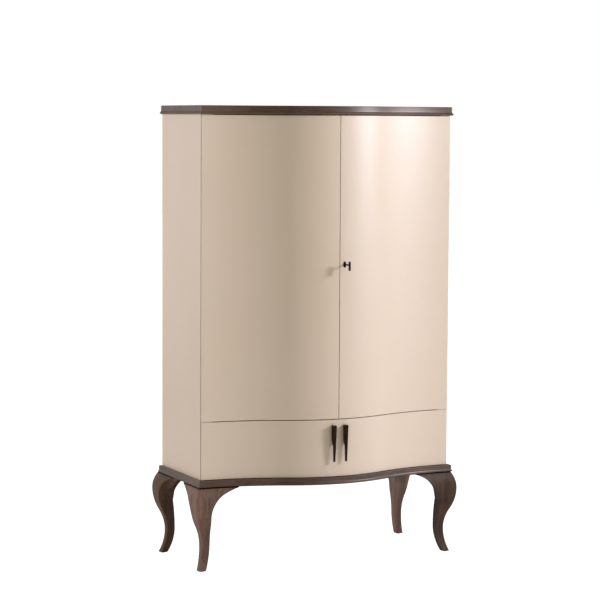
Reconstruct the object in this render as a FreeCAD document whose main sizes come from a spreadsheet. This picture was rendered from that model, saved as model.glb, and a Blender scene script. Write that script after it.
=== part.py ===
import FreeCAD, Part
import math
import os
import Sketcher

# Tall cabinet with a serpentine front: two doors over one drawer, a moulded top, a mitred base moulding
# and four cabriole legs. X runs to the right, Y to the back, Z up; the origin lies on the floor under the
# centre of the whole piece, knees and key included. Lengths are in millimetres.

doc = FreeCAD.newDocument("SerpentineCabinet")
sheet = doc.addObject("Spreadsheet::Sheet", "sizes")
sheet_names = []


class Size:
    """A length together with the spreadsheet expression that drives it."""

    def __init__(self, value, text):
        self.value = float(value)
        self.text = text

    def __add__(self, other):
        other = as_size(other)
        return Size(self.value + other.value, "(" + self.text + " + " + other.text + ")")

    def __sub__(self, other):
        other = as_size(other)
        return Size(self.value - other.value, "(" + self.text + " - " + other.text + ")")

    def __mul__(self, other):
        other = as_size(other)
        return Size(self.value * other.value, "(" + self.text + " * " + other.text + ")")

    def __truediv__(self, other):
        other = as_size(other)
        return Size(self.value / other.value, "(" + self.text + " / " + other.text + ")")

    def __radd__(self, other):
        return as_size(other) + self

    def __rsub__(self, other):
        return as_size(other) - self

    def __rmul__(self, other):
        return as_size(other) * self

    def __neg__(self):
        return Size(-self.value, "(0 - " + self.text + ")")


def as_size(number):
    if isinstance(number, Size):
        return number
    return Size(number, "(" + repr(float(number)) + ")")


def root(size):
    return Size(math.sqrt(size.value), "sqrt(" + size.text + ")")


def add_row(name, content, value):
    sheet_names.append(name)
    row = str(len(sheet_names))
    sheet.set("A" + row, name)
    sheet.set("B" + row, content)
    sheet.setAlias("B" + row, name)
    return Size(value, "sizes." + name)


def drive(name, value):
    """A driving dimension: a plain number in the spreadsheet."""
    return add_row(name, str(value), value)


def derive(name, size):
    """A dimension that follows from others, kept in the spreadsheet as a formula."""
    return add_row(name, "=" + size.text.replace("sizes.", ""), size.value)


# Overall sizes
carcass_width = drive("carcass_width", 1060)
carcass_depth = drive("carcass_depth", 425)
belly_depth = drive("belly_depth", 105)
belly_half = drive("belly_half", 197)
flare_inset = drive("flare_inset", 17)
leg_height = drive("leg_height", 325)
base_height = drive("base_height", 27)
drawer_zone = drive("drawer_zone", 223.4)
door_height = drive("door_height", 1170.8)
top_thick = drive("top_thick", 34)

# Boards
panel_thick = drive("panel_thick", 20)
shelf_thick = drive("shelf_thick", 18)
back_thick = drive("back_thick", 8)
front_thick = drive("front_thick", 22)
front_edge = drive("front_edge", 8)
reveal = drive("reveal", 5)
centre_gap = drive("centre_gap", 2.5)
base_gap = drive("base_gap", 2)
shelf_setback = drive("shelf_setback", 16)
rail_width = drive("rail_width", 60)

# Fits
fit = drive("fit", 0.05)
slide_play = drive("slide_play", 0.3)
seat_gap = drive("seat_gap", 0.15)

# Door pivots
leaf_thick = drive("leaf_thick", 2)
leaf_play = drive("leaf_play", 0.6)
pivot_side = drive("pivot_side", 3)
pivot_back = drive("pivot_back", 6)
pin_radius = drive("pin_radius", 2)
pin_length = drive("pin_length", 9)
socket_thick = drive("socket_thick", 3)

# What stands out furthest at the back and at the front: the knees of the back legs and the bow of the key.
knee_out = drive("knee_out", 28.5)
bow_proud = drive("bow_proud", 50)

# Levels and reference lines
middle = derive("middle", (belly_depth + bow_proud - knee_out) / 2)
front = derive("front", middle - carcass_depth / 2)
back = derive("back", middle + carcass_depth / 2)
half = derive("half", carcass_width / 2)
flare_half = derive("flare_half", half - flare_inset)
base_top = derive("base_top", leg_height + base_height)
drawer_top = derive("drawer_top", base_top + drawer_zone)
divider_low = derive("divider_low", drawer_top + leaf_play + leaf_thick)
divider_top = derive("divider_top", divider_low + shelf_thick)
door_low = derive("door_low", divider_low + leaf_play)
door_top = derive("door_top", door_low + door_height)
top_low = derive("top_low", door_top + leaf_play + leaf_thick)
inside = derive("inside", half - panel_thick)
behind = derive("behind", front_thick + reveal)
board_back = derive("board_back", back - back_thick)

# The serpentine front line in plan: one convex arc across the belly, meeting a concave arc at each end.
span_square = derive("span_square", flare_half * flare_half + belly_depth * belly_depth)
radius_sum = derive("radius_sum", span_square / (2 * belly_depth))
belly_radius = derive("belly_radius", radius_sum * belly_half / flare_half)
flare_radius = derive("flare_radius", radius_sum - belly_radius)
swing_sine = derive("swing_sine", 2 * belly_depth * flare_half / span_square)
swing_cosine = derive("swing_cosine", (flare_half * flare_half - belly_depth * belly_depth) / span_square)
belly_centre = derive("belly_centre", front - belly_depth + belly_radius)


def bind(item, path, size):
    item.setExpression(path, as_size(size).text)


def move(item, x, y, z):
    bind(item, "Placement.Base.x", x)
    bind(item, "Placement.Base.y", y)
    bind(item, "Placement.Base.z", z)


def origin_plane(body, role):
    return [feature for feature in body.Origin.OriginFeatures if feature.Role == role][0]


def trace(sketch, points, arcs):
    """Closed outline through bound points; arcs maps an edge to (radius, turn), turn 1 for a left bend."""
    count = len(points)
    geometry = []
    ends = []
    for index in range(count):
        x0, y0 = (as_size(c).value for c in points[index])
        x1, y1 = (as_size(c).value for c in points[(index + 1) % count])
        if index not in arcs:
            geometry.append(Part.LineSegment(FreeCAD.Vector(x0, y0, 0), FreeCAD.Vector(x1, y1, 0)))
            ends.append((1, 2))
            continue
        radius, turn = arcs[index]
        chord = math.hypot(x1 - x0, y1 - y0)
        rise = math.sqrt(max(as_size(radius).value ** 2 - chord ** 2 / 4, 0))
        cx = (x0 + x1) / 2 - turn * rise * (y1 - y0) / chord
        cy = (y0 + y1) / 2 + turn * rise * (x1 - x0) / chord
        first = math.atan2(y0 - cy, x0 - cx)
        last = math.atan2(y1 - cy, x1 - cx)
        if turn < 0:
            first, last = last, first
        if last < first:
            last += 2 * math.pi
        circle = Part.Circle(FreeCAD.Vector(cx, cy, 0), FreeCAD.Vector(0, 0, 1), as_size(radius).value)
        geometry.append(Part.ArcOfCircle(circle, first, last))
        ends.append((1, 2) if turn > 0 else (2, 1))
    sketch.addGeometry(geometry, False)
    rules = []
    bound = []
    for index in range(count):
        after = (index + 1) % count
        rules.append(Sketcher.Constraint("Coincident", index, ends[index][1], after, ends[after][0]))
    for index, (x, y) in enumerate(points):
        for kind, size in (("DistanceX", as_size(x)), ("DistanceY", as_size(y))):
            bound.append((len(rules), size))
            rules.append(Sketcher.Constraint(kind, -1, 1, index, ends[index][0], size.value))
    for index, (radius, turn) in arcs.items():
        bound.append((len(rules), as_size(radius)))
        rules.append(Sketcher.Constraint("Radius", index, as_size(radius).value))
    sketch.addConstraint(rules)
    for number, size in bound:
        sketch.setExpression("Constraints[" + str(number) + "]", size.text)


def body_sketch(body, name, role, points, arcs):
    sketch = body.newObject("Sketcher::SketchObject", name)
    sketch.AttachmentSupport = [(origin_plane(body, role), "")]
    sketch.MapMode = "FlatFace"
    trace(sketch, points, arcs)
    return sketch


def board(label, points, arcs, thick, z):
    """A flat board: plan outline padded upwards from height z."""
    body = doc.addObject("PartDesign::Body", label)
    pad = body.newObject("PartDesign::Pad", label + "_pad")
    pad.Profile = body_sketch(body, label + "_plan", "XY_Plane", points, arcs)
    bind(pad, "Length", thick)
    bind(body, "Placement.Base.z", z)
    return body


def bar(label, role, points, arcs, length):
    """An outline drawn on the XZ or YZ plane and padded equally to both sides."""
    body = doc.addObject("PartDesign::Body", label)
    pad = body.newObject("PartDesign::Pad", label + "_pad")
    pad.Profile = body_sketch(body, label + "_face", role, points, arcs)
    pad.SideType = "Symmetric"
    bind(pad, "Length", length)
    return body


def box(label, x, y, z, length, width, height):
    item = doc.addObject("Part::Box", label)
    bind(item, "Length", length)
    bind(item, "Width", width)
    bind(item, "Height", height)
    move(item, x, y, z)
    return item


TURNS = {
    "+X": FreeCAD.Rotation(FreeCAD.Vector(0, 1, 0), 90),
    "-X": FreeCAD.Rotation(FreeCAD.Vector(0, 1, 0), -90),
    "+Y": FreeCAD.Rotation(FreeCAD.Vector(1, 0, 0), -90),
    "-Y": FreeCAD.Rotation(FreeCAD.Vector(1, 0, 0), 90),
    "+Z": FreeCAD.Rotation(),
    "-Z": FreeCAD.Rotation(FreeCAD.Vector(1, 0, 0), 180),
}


def rod(label, axis, x, y, z, radius, length):
    item = doc.addObject("Part::Cylinder", label)
    bind(item, "Radius", radius)
    bind(item, "Height", length)
    item.Placement = FreeCAD.Placement(FreeCAD.Vector(), TURNS[axis])
    move(item, x, y, z)
    return item


def fuse(label, items):
    item = doc.addObject("Part::MultiFuse", label)
    item.Shapes = items
    return item


def group(label, items):
    item = doc.addObject("Part::Compound", label)
    item.Links = items
    return item


def cut(label, base, tools):
    item = doc.addObject("Part::Cut", label)
    item.Base = base
    item.Tool = tools[0] if len(tools) == 1 else fuse(label + "_tools", tools)
    return item


def common(label, first, second):
    item = doc.addObject("Part::Common", label)
    item.Base = first
    item.Tool = second
    return item


def mirrored(label, source, normal):
    item = doc.addObject("Part::Mirroring", label)
    item.Source = source
    item.Normal = FreeCAD.Vector(*normal)
    bind(item, "Base.y", middle)
    return item


def screw(label, axis, x, y, z, shank, length, head, head_length):
    """A screw that points along axis, with its head on the near side of the seat at x, y, z."""
    away = {"+": "-", "-": "+"}[axis[0]] + axis[1]
    return fuse(label, [
        rod(label + "_shank", axis, x, y, z, shank, length),
        rod(label + "_head", away, x, y, z, head, head_length),
    ])


nodes = []


def node(item):
    nodes.append(item)
    return item


def serpentine(inset, end):
    """Points and arcs of the front line moved back by inset, from -end to end."""
    inset = as_size(inset)
    turn_x = (belly_radius - inset) * swing_sine
    turn_y = belly_centre - (belly_radius - inset) * swing_cosine
    level = front + inset
    points = [(-end, level), (-flare_half, level), (-turn_x, turn_y)]
    points += [(turn_x, turn_y), (flare_half, level), (end, level)]
    arcs = {1: (flare_radius + inset, -1), 2: (belly_radius - inset, 1), 3: (flare_radius + inset, -1)}
    return points, arcs


def half_serpentine(inset, end):
    """Points and arcs of the right half of the front line, from just right of the middle to end."""
    inset = as_size(inset)
    start = centre_gap / 2
    turn_x = (belly_radius - inset) * swing_sine
    turn_y = belly_centre - (belly_radius - inset) * swing_cosine
    level = front + inset
    start_y = belly_centre - root((belly_radius - inset) * (belly_radius - inset) - start * start)
    points = [(start, start_y), (turn_x, turn_y), (flare_half, level), (end, level)]
    arcs = {0: (belly_radius - inset, 1), 1: (flare_radius + inset, -1)}
    return points, arcs


def shallow_serpentine(inset, end, to_back):
    """A board outline with a serpentine front that ends short of the flat ends of the front line."""
    inset = as_size(inset)
    turn_x = (belly_radius - inset) * swing_sine
    turn_y = belly_centre - (belly_radius - inset) * swing_cosine
    reach = flare_half - end
    end_y = front - flare_radius + root((flare_radius + inset) * (flare_radius + inset) - reach * reach)
    points = [(-end, end_y), (-turn_x, turn_y), (turn_x, turn_y), (end, end_y)]
    points += [(end, to_back), (-end, to_back)]
    arcs = {0: (flare_radius + inset, -1), 1: (belly_radius - inset, 1), 2: (flare_radius + inset, -1)}
    return points, arcs


# Top board: the moulded edge is a ruled loft through outlines that follow the front line and the sides.
# Each step is a height above the underside and the overhang beyond the carcass.
top_lip = drive("top_lip", 11)
top_band = drive("top_band", 5.5)
top_steps = [
    (as_size(0), top_lip - 4),
    (as_size(4), top_lip),
    (as_size(6), top_lip),
    (as_size(8), top_band + 2.7),
    (as_size(11.5), top_band + 0.8),
    (as_size(16), top_band),
    (top_thick - 1.5, top_band),
    (top_thick, top_band - 1.5),
]


def moulding(label, steps, outline, bottom):
    body = doc.addObject("PartDesign::Body", label)
    sketches = []
    for number, (level, overhang) in enumerate(steps):
        points, arcs = outline(overhang)
        sketch = body_sketch(body, label + "_step" + str(number), "XY_Plane", points, arcs)
        bind(sketch, "AttachmentOffset.Base.z", level)
        sketches.append(sketch)
    loft = body.newObject("PartDesign::AdditiveLoft", label + "_loft")
    loft.Profile = sketches[0]
    loft.Sections = sketches[1:]
    loft.Ruled = True
    bind(body, "Placement.Base.z", bottom)
    return body


def top_outline(overhang):
    points, arcs = serpentine(-overhang, half + overhang)
    return points + [(half + overhang, back), (-half - overhang, back)], arcs


top_blank = moulding("top_blank", top_steps, top_outline, top_low)

# Side panels: the front edge is bevelled to meet the bevelled edges of the doors and the drawer front.
side_low = front_edge + reveal
side_height = top_low - base_top
side_points = [
    (half, front + side_low),
    (half, back),
    (inside, back),
    (inside, front + behind),
    (half - behind + side_low, front + behind),
]
side_blank = board("side_blank", side_points, {}, side_height, base_top)
back_panel_blank = box("back_panel_blank", -inside, board_back, base_top, 2 * inside, back_thick, side_height)

# Bottom, divider and shelves run between the side panels and follow the front behind the doors.
panel_plan = shallow_serpentine(behind, inside, board_back)
bottom_blank = board("bottom_blank", *panel_plan, shelf_thick, base_top)
divider_blank = board("divider_blank", *panel_plan, shelf_thick, divider_low)
shelf_room = derive("shelf_room", (top_low - divider_top - 2 * shelf_thick) / 3)
shelf_low = derive("shelf_low", divider_top + shelf_room)
shelf_high = derive("shelf_high", shelf_low + shelf_thick + shelf_room)
shelf_end = inside - 1
shelf_plan = shallow_serpentine(behind + shelf_setback, shelf_end, board_back - 2)
node(board("shelf_lower", *shelf_plan, shelf_thick, shelf_low))
node(board("shelf_upper", *shelf_plan, shelf_thick, shelf_high))

# Shelf pins: half in the side panel, half under the shelf.
peg_radius = drive("peg_radius", 2.5)
peg_depth = drive("peg_depth", 9)
peg_stand = drive("peg_stand", 10)
peg_inset = drive("peg_inset", 75)
pegs = []
peg_holes = []
for level, level_name in ((shelf_low, "low"), (shelf_high, "high")):
    for place, place_name in ((front + peg_inset, "front"), (back - peg_inset, "back")):
        name = "peg_" + level_name + "_" + place_name
        height = level - peg_radius
        peg = rod(name, "+X", inside - peg_stand, place, height, peg_radius, peg_stand + peg_depth)
        pegs += [peg, mirrored(name + "_left", peg, (1, 0, 0))]
        peg_holes.append(rod(name + "_hole", "+X", inside, place, height, peg_radius + fit, peg_depth + fit))
node(group("shelf_pins", pegs))

# Dowels that join the side panels to the top board and to the base rails.
dowel_radius = drive("dowel_radius", 4)
dowel_half = drive("dowel_half", 14)
dowel_inset = drive("dowel_inset", 60)
dowels = []
dowel_holes = []
for place, place_name in ((front + dowel_inset, "front"), (back - dowel_inset, "back")):
    for level, level_name in ((top_low, "top"), (base_top, "base")):
        name = "dowel_" + level_name + "_" + place_name
        line = half - panel_thick / 2
        foot = level - dowel_half
        dowel = rod(name, "+Z", line, place, foot, dowel_radius, 2 * dowel_half)
        hole = rod(name + "_hole", "+Z", line, place, foot - 1, dowel_radius + fit, 2 * dowel_half + 2)
        dowels += [dowel, mirrored(name + "_left", dowel, (1, 0, 0))]
        dowel_holes += [hole]
node(group("carcass_dowels", dowels))
dowel_holes_left = [mirrored(hole.Label + "_left", hole, (1, 0, 0)) for hole in dowel_holes]

# Screws through the back panel into the bottom and the divider.
back_screw_radius = drive("back_screw_radius", 1.5)
back_screw_length = drive("back_screw_length", 26)
back_screws = []
back_holes = []
for level, level_name in ((base_top + shelf_thick / 2, "bottom"), (divider_low + shelf_thick / 2, "divider")):
    for number in range(4):
        place = inside * ((2 * number - 3) / 4)
        name = "back_screw_" + level_name + str(number)
        long = back_screw_length
        one = screw(name, "-Y", place, back, level, back_screw_radius, long, 3.2, 1.2)
        hole = rod(name + "_hole", "-Y", place, back + 1, level, back_screw_radius + fit, long + 2)
        back_screws.append(one)
        back_holes.append(hole)
node(group("back_screws", back_screws))
back_drill = group("back_drill", back_holes)
node(cut("back_panel", back_panel_blank, [back_drill]))
node(cut("bottom_panel", bottom_blank, [back_drill]))

# Base moulding: mitred rails with a flat band and a beak along the foot, steps measured from the underside.
base_lip = drive("base_lip", 19)
base_band = drive("base_band", 14)
base_steps = [
    (as_size(0), base_band - 1),
    (as_size(4), base_lip),
    (as_size(4.8), base_lip),
    (as_size(8), base_band + 1.6),
    (as_size(12), base_band),
    (base_height, base_band),
]
rail_inside = half - rail_width
rail_middle = drive("rail_middle", 150)
rail_step = drive("rail_step", 90)


def front_rail_outline(overhang):
    points, arcs = serpentine(-overhang, half + overhang)
    inner = front + rail_width
    points += [
        (rail_inside, inner),
        (rail_middle, inner - rail_step),
        (-rail_middle, inner - rail_step),
        (-rail_inside, inner),
    ]
    return points, arcs


def side_rail_outline(overhang):
    points = [
        (half + overhang, front - overhang),
        (half + overhang, back),
        (rail_inside, back),
        (rail_inside, front + rail_width),
    ]
    return points, {}


front_rail_blank = moulding("front_rail_blank", base_steps, front_rail_outline, leg_height)
side_rail_blank = moulding("side_rail_blank", base_steps, side_rail_outline, leg_height)
back_rail_width = drive("back_rail_width", 40)
back_rail_front = back - back_rail_width
node(box("base_rail_back", -rail_inside, back_rail_front, leg_height, 2 * rail_inside, back_rail_width,
         base_height))

# Legs: cabriole, sawn from two sides to one profile, so the section is square with a sharp outer arris.
# Distances are outwards from the corner of the carcass; sideways the legs are set out by leg_set more.
leg_set = drive("leg_set", 4)
knee_top = drive("knee_top", 10)
knee_drop = drive("knee_drop", 63)
knee_share = drive("knee_share", 0.53)
ankle_in = drive("ankle_in", 10.6)
ankle_height = drive("ankle_height", 95)
toe_out = drive("toe_out", 8.8)
foot_size = drive("foot_size", 28)
calf_in = drive("calf_in", 42)
calf_height = drive("calf_height", 105)
thigh_in = drive("thigh_in", 36.5)
thigh_drop = drive("thigh_drop", 110)
block_in = drive("block_in", 50)
glide_height = drive("glide_height", 2)
knee_height = derive("knee_height", leg_height - knee_drop)
thigh_height = derive("thigh_height", leg_height - thigh_drop)


def swell(rise, run):
    """Radius of an arc that starts upright and moves sideways by run over the height rise."""
    return (rise * rise + run * run) / (2 * run)


bend_rise = knee_height - ankle_height
bend_run = knee_out + ankle_in
bend_radius = derive("bend_radius", swell(bend_rise, bend_run))
turn_out = knee_out - bend_run * knee_share
turn_height = knee_height - bend_rise * knee_share
knee_line = [(knee_top, leg_height), (knee_out, knee_height), (turn_out, turn_height)]
knee_arcs = {
    0: (swell(leg_height - knee_height, knee_out - knee_top), -1),
    1: (bend_radius * knee_share, -1),
}
leg_line = knee_line + [
    (-ankle_in, ankle_height),
    (toe_out, glide_height),
    (toe_out - foot_size, glide_height),
    (-calf_in, calf_height),
    (-thigh_in, thigh_height),
    (-block_in, leg_height),
]
leg_arcs = dict(knee_arcs)
leg_arcs[2] = (bend_radius * (1 - knee_share), 1)
leg_arcs[3] = (swell(ankle_height - glide_height, toe_out + ankle_in), 1)
leg_arcs[5] = (swell(calf_height - glide_height, calf_in - foot_size + toe_out), -1)
leg_arcs[6] = (swell(thigh_height - calf_height, calf_in - thigh_in), -1)

# Ears: the knee carried along the rails, with a hollow lower edge that runs out to a blunt tip.
ear_inner = drive("ear_inner", 32)
ear_drop = drive("ear_drop", 113)
ear_radius = drive("ear_radius", 97)
ear_run_radius = drive("ear_run_radius", 300)
ear_rise = drive("ear_rise", 86)
ear_tip = drive("ear_tip", 3)
ear_root = drive("ear_root", 20)
ear_start = derive("ear_start", leg_height - ear_drop)
ear_level = root(ear_radius * ear_radius - ear_rise * ear_rise)
ear_bend = thigh_in + ear_radius - ear_level
ear_run_in = ear_bend + ear_run_radius * ear_level / ear_radius
ear_run_height = ear_start + ear_rise - ear_run_radius * ear_rise / ear_radius
ear_run_rise = leg_height - ear_tip - ear_run_height
ear_reach = derive(
    "ear_reach",
    ear_run_in - root(ear_run_radius * ear_run_radius - ear_run_rise * ear_run_rise),
)
ear_line = [
    (-ear_root, leg_height),
    (-ear_root, ear_start),
    (-thigh_in, ear_start),
    (-ear_bend, ear_start + ear_rise),
    (-ear_reach, leg_height - ear_tip),
    (-ear_reach, leg_height),
]
ear_arcs = {2: (ear_radius, 1), 3: (ear_run_radius, 1)}
ear_band = knee_line + [(-ear_inner, turn_height), (-ear_inner, leg_height)]
through_x = carcass_width + 400
through_y = 2 * carcass_depth + 600


def on_x(line):
    return [(half + leg_set + out, height) for out, height in line]


def on_y(line):
    return [(front - out, height) for out, height in line]


def flipped(arcs):
    return {edge: (radius, -turn) for edge, (radius, turn) in arcs.items()}


leg_post = common(
    "leg_post",
    bar("leg_profile_x", "XZ_Plane", on_x(leg_line), leg_arcs, through_y),
    bar("leg_profile_y", "YZ_Plane", on_y(leg_line), flipped(leg_arcs), through_x),
)
ear_back = common(
    "ear_back",
    bar("ear_back_band", "YZ_Plane", on_y(ear_band), flipped(knee_arcs), through_x),
    bar("ear_back_edge", "XZ_Plane", on_x(ear_line), ear_arcs, through_y),
)
ear_side = common(
    "ear_side",
    bar("ear_side_band", "XZ_Plane", on_x(ear_band), knee_arcs, through_y),
    bar("ear_side_edge", "YZ_Plane", on_y(ear_line), flipped(ear_arcs), through_x),
)
band_sketch = doc.addObject("Sketcher::SketchObject", "ear_front_section")
band_sketch.Placement = FreeCAD.Placement(FreeCAD.Vector(), FreeCAD.Rotation(FreeCAD.Vector(1, 1, 1), 120))
bind(band_sketch, "Placement.Base.x", flare_half)
trace(band_sketch, on_y(ear_band), flipped(knee_arcs))
ear_sweep = doc.addObject("Part::Revolution", "ear_front_band")
ear_sweep.Source = band_sketch
ear_sweep.Axis = FreeCAD.Vector(0, 0, 1)
bind(ear_sweep, "Base.x", flare_half)
bind(ear_sweep, "Base.y", front - flare_radius)
ear_sweep.Angle = 12
ear_sweep.Solid = True
ear_front = common(
    "ear_front",
    ear_sweep,
    bar("ear_front_edge", "XZ_Plane", on_x(ear_line), ear_arcs, through_y),
)

# Leg bolts: up from the leg through the mitre of the base rails, with a washer and nut sunk into the rails.
leg_bolt_radius = drive("leg_bolt_radius", 5)
leg_bolt_length = drive("leg_bolt_length", 68)
leg_bolt_in = drive("leg_bolt_in", 20)
nut_room = drive("nut_room", 13)
washer_radius = drive("washer_radius", 11)
washer_thick = drive("washer_thick", 1.5)
leg_bolt_x = half - leg_bolt_in
leg_bolt_y = front + leg_bolt_in
leg_bolt_low = base_top - 3 - leg_bolt_length
leg_bolt = rod("leg_bolt", "+Z", leg_bolt_x, leg_bolt_y, leg_bolt_low, leg_bolt_radius, leg_bolt_length)
bore_radius = leg_bolt_radius + fit
leg_bore = rod("leg_bore", "+Z", leg_bolt_x, leg_bolt_y, leg_bolt_low - 1, bore_radius, leg_bolt_length + 20)
nut_low = base_top - nut_room
nut_sink = rod("nut_sink", "+Z", leg_bolt_x, leg_bolt_y, nut_low, washer_radius + 2, nut_room + 1)
washer = rod("washer", "+Z", leg_bolt_x, leg_bolt_y, nut_low, washer_radius, washer_thick)
nut_prism = doc.addObject("Part::Prism", "nut_prism")
nut_prism.Polygon = 6
bind(nut_prism, "Circumradius", leg_bolt_radius * 1.85)
bind(nut_prism, "Height", leg_bolt_radius * 1.6)
move(nut_prism, leg_bolt_x, leg_bolt_y, nut_low + washer_thick)
leg_nut = cut("leg_nut", fuse("nut_and_washer", [washer, nut_prism]), [leg_bore])


def four(item):
    """The item at the front right corner, with its mirror images at the other three corners."""
    left = mirrored(item.Label + "_fl", item, (1, 0, 0))
    rear = mirrored(item.Label + "_br", item, (0, 1, 0))
    return [item, left, rear, mirrored(item.Label + "_bl", rear, (1, 0, 0))]


node(group("leg_bolts", four(leg_bolt)))
node(group("leg_nuts", four(leg_nut)))
glide_in = foot_size / 2 - toe_out
glide_x = half + leg_set - glide_in
glide = rod("glide", "+Z", glide_x, front + glide_in, 0, foot_size * 0.36, glide_height)
node(group("floor_glides", four(glide)))

front_wood = fuse("leg_front_wood", [leg_post, ear_side, ear_front])
leg_front_right = node(cut("leg_front_right", front_wood, [leg_bore]))
node(mirrored("leg_front_left", leg_front_right, (1, 0, 0)))
back_wood = cut("leg_back_wood", fuse("leg_side_wood", [leg_post, ear_side, ear_back]), [leg_bore])
leg_back_right = node(mirrored("leg_back_right", back_wood, (0, 1, 0)))
node(mirrored("leg_back_left", leg_back_right, (1, 0, 0)))

bores = four(fuse("leg_drill", [leg_bore, nut_sink]))
rail_right = cut("base_rail_right", side_rail_blank, [bores[0], bores[2]] + dowel_holes)
node(rail_right)
node(mirrored("base_rail_left", rail_right, (1, 0, 0)))
node(cut("base_rail_front", front_rail_blank, [bores[0], bores[1]]))

# Fixed hinge leaves: plates with a pin and a thrust collar, screwed under the divider and the top board.
pivot_x = half - pivot_side
pivot_y = front + pivot_back
leaf_reach = drive("leaf_reach", 62)
leaf_length = drive("leaf_length", 44)
leaf_points = [
    (half - 0.5, front + 1.5),
    (half - 0.5, front + front_edge - 0.5),
    (half - behind + front_edge + 1.5, front + front_thick - 0.5),
    (inside - 0.5, front + front_thick - 0.5),
    (inside - 0.5, front + leaf_reach),
    (half - leaf_length, front + leaf_reach),
    (half - leaf_length, front + 1.5),
]
collar_high = leaf_play - 0.1
screw_radius = drive("screw_radius", 1.6)
screw_head = drive("screw_head", 3.2)
screw_length = drive("screw_length", 14)
head_thick = drive("head_thick", 0.8)
leaf_screw_places = [(inside - 8, front + 36), (inside - 16, front + 52)]


def hinge_leaf(label, plate_low, pin_axis, pin_start):
    plate = board(label + "_plate", leaf_points, {}, leaf_thick, plate_low)
    pin = rod(label + "_pin", pin_axis, pivot_x, pivot_y, pin_start, pin_radius, leaf_play + pin_length)
    collar = rod(label + "_collar", pin_axis, pivot_x, pivot_y, pin_start, pin_radius + 0.8, collar_high)
    holes = [
        rod(label + "_hole" + str(number), "+Z", x, y, plate_low - 1, screw_radius + fit, leaf_thick + 2)
        for number, (x, y) in enumerate(leaf_screw_places)
    ]
    return cut(label, fuse(label + "_blank", [plate, pin, collar]), holes)


leaf_low_z = drawer_top + leaf_play
leaf_high_z = top_low - leaf_thick
hinge_low = hinge_leaf("hinge_leaf_low_right", leaf_low_z, "+Z", divider_low)
hinge_high = hinge_leaf("hinge_leaf_high_right", leaf_high_z, "-Z", leaf_high_z)
for leaf in (hinge_low, hinge_high):
    node(leaf)
    node(mirrored(leaf.Label.replace("right", "left"), leaf, (1, 0, 0)))
leaf_screws = []
leaf_holes_low = []
leaf_holes_high = []
for number, (x, y) in enumerate(leaf_screw_places):
    for level, seat, holes in (("low", leaf_low_z, leaf_holes_low), ("high", leaf_high_z, leaf_holes_high)):
        name = "leaf_screw_" + level + str(number)
        one = screw(name, "+Z", x, y, seat, screw_radius, screw_length, screw_head, head_thick)
        hole = rod(name + "_hole", "+Z", x, y, seat, screw_radius + fit, screw_length + 1)
        leaf_screws += [one, mirrored(name + "_left", one, (1, 0, 0))]
        holes += [hole, mirrored(name + "_hole_left", hole, (1, 0, 0))]
node(group("hinge_leaf_screws", leaf_screws))
node(cut("divider_panel", divider_blank, [back_drill] + leaf_holes_low))

# Magnetic catches under the top board, behind the meeting edges of the doors.
catch_x = drive("catch_x", 8)
catch_length = drive("catch_length", 32)
catch_deep = drive("catch_deep", 16)
catch_high = drive("catch_high", 14)
pole_inset = drive("pole_inset", 9)
pole_proud = drive("pole_proud", 1.2)
pole_length = catch_length - 2 * pole_inset
plate_y = derive("plate_y", front - belly_depth + front_thick)
catch_front = plate_y + 2.6
catch_low = top_low - catch_high
catch_case = box("catch_case", catch_x, catch_front, catch_low, catch_length, catch_deep, catch_high)
pole_x = catch_x + pole_inset
pole_front = catch_front - pole_proud
poles = [
    box("catch_pole" + str(number), pole_x, pole_front, catch_low + rise, pole_length, 4, 2)
    for number, rise in enumerate((7, 2))
]
catch_body = fuse("catch_body", [catch_case] + poles)
node(group("door_catches", [catch_body, mirrored("catch_body_left", catch_body, (1, 0, 0))]))
node(cut("top_board", top_blank, dowel_holes + dowel_holes_left + leaf_holes_high))

# Runner rails of the drawer: a fixed channel on each side panel, a moving bar on each drawer side.
drawer_side_gap = drive("drawer_side_gap", 13)
drawer_side_thick = drive("drawer_side_thick", 14)
drawer_box_low = drive("drawer_box_low", 30)
drawer_box_height = drive("drawer_box_height", 150)
drawer_box_depth = drive("drawer_box_depth", 378)
runner_height = drive("runner_height", 28)
runner_bar = drive("runner_bar", 13)
runner_web = drive("runner_web", 2)
drawer_out = inside - drawer_side_gap
drawer_in = drawer_out - drawer_side_thick
box_low = derive("box_low", base_top + drawer_box_low)
runner_mid = box_low + drawer_box_height / 2
runner_start = front + behind + 6
runner_length = drawer_box_depth - 8
channel_face = drawer_out + 1.5
channel_slot = runner_bar + 2 * slide_play
channel_low = runner_mid - runner_height / 2
channel_deep = inside - channel_face
channel_bar = box("channel_bar", channel_face, runner_start, channel_low, channel_deep, runner_length,
                  runner_height)
channel_gap = box("channel_gap", channel_face - 1, runner_start - 1, runner_mid - channel_slot / 2,
                  channel_deep + 1 - runner_web, runner_length + 2, channel_slot)
channel = cut("channel", channel_bar, [channel_gap])
runner_screws = []
runner_holes = []
for number in range(3):
    place = runner_start + 30 + (runner_length - 60) * (number / 2)
    name = "runner_screw" + str(number)
    seat = inside - runner_web
    one = screw(name, "+X", seat, place, runner_mid, screw_radius, screw_length, screw_head, head_thick)
    hole = rod(name + "_hole", "+X", seat - 1, place, runner_mid, screw_radius + fit, screw_length + 3)
    runner_screws += [one, mirrored(name + "_left", one, (1, 0, 0))]
    runner_holes.append(hole)
node(group("runner_screws", runner_screws))
runner_fixed = node(cut("runner_fixed_right", channel, runner_holes))
node(mirrored("runner_fixed_left", runner_fixed, (1, 0, 0)))
side_right = node(cut("side_panel_right", side_blank, peg_holes + dowel_holes + runner_holes))
node(mirrored("side_panel_left", side_right, (1, 0, 0)))
bar_deep = inside - runner_web - 2 - drawer_out
bar_low = runner_mid - runner_bar / 2
runner_moving = box("runner_moving_right", drawer_out, runner_start, bar_low, bar_deep, runner_length,
                    runner_bar)
node(runner_moving)
node(mirrored("runner_moving_left", runner_moving, (1, 0, 0)))

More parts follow.
